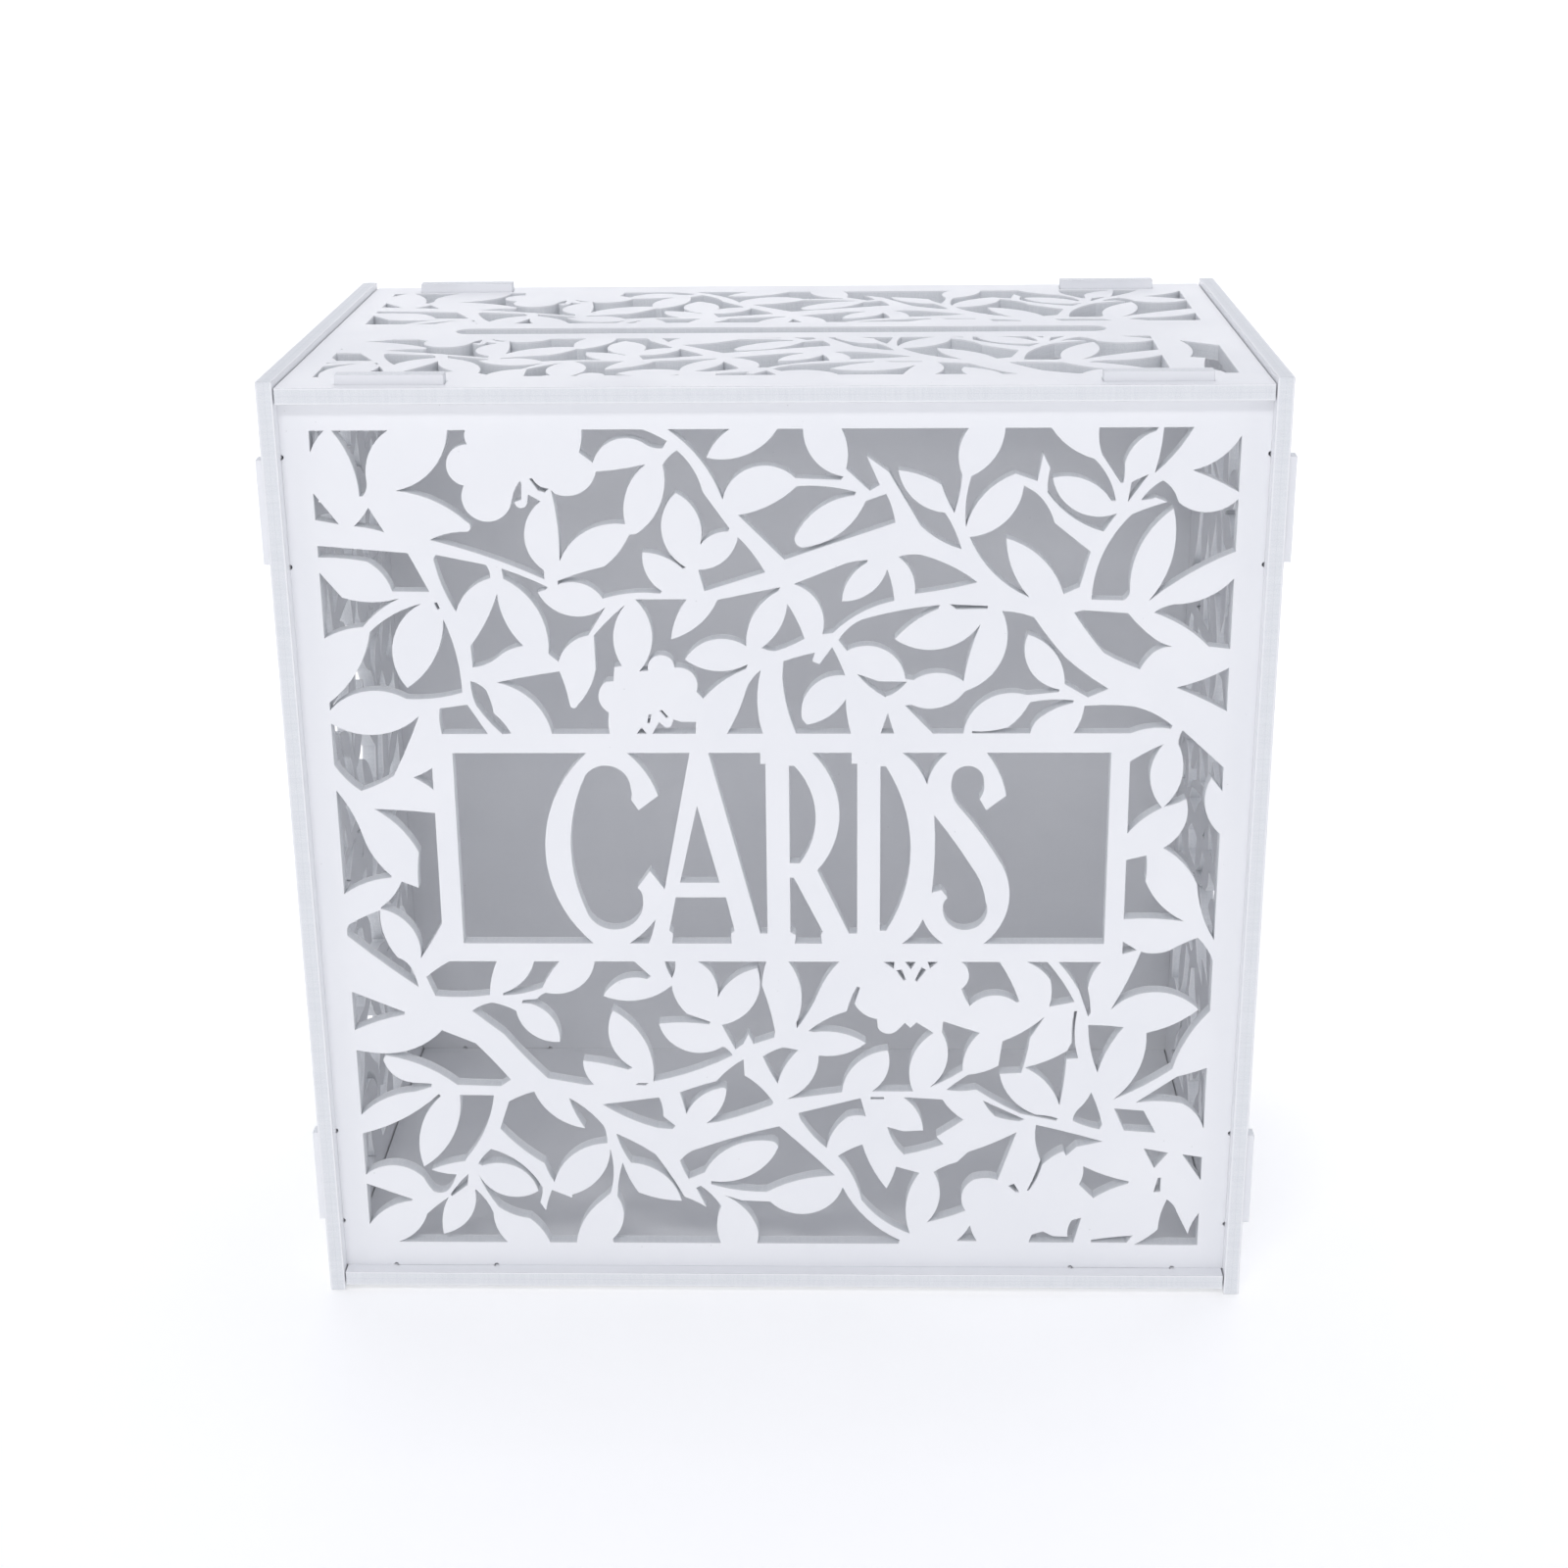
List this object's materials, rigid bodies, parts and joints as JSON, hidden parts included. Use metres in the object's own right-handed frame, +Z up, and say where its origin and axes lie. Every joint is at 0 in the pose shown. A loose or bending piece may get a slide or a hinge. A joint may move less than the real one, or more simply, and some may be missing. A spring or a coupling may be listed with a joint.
{
  "type": "wedding card box",
  "caption": "Free-standing flat-pack card box of tabbed foam boards with foliage cut-outs, a cut-out word on the front and a card slot in its lid.",
  "frame": {"origin": "on the ground, under the middle of the box", "axes": "+Z up, +X to the right seen from the front, the front with the word faces -Y"},
  "size_m": [0.316, 0.18, 0.316],
  "materials": {
    "foam_board": "satin white foam board, smooth skins and finely cellular cut edges"
  },
  "bodies": {
    "body": {"bottom_panel": "foam_board", "front_panel": "foam_board", "back_panel": "foam_board"},
    "lid": {"lid": "foam_board"},
    "left_side": {"left_side_panel": "foam_board"},
    "right_side": {"right_side_panel": "foam_board"}
  },
  "joints": [
    {"name": "lid_lift", "type": "slide", "parent": "body", "child": "lid", "axis": [0, 0, 1], "range_m": [0, 0.06]},
    {"name": "left_panel_pull", "type": "slide", "parent": "body", "child": "left_side", "axis": [-1, 0, 0], "range_m": [0, 0.04]},
    {"name": "right_panel_pull", "type": "slide", "parent": "body", "child": "right_side", "axis": [1, 0, 0], "range_m": [0, 0.04]}
  ]
}
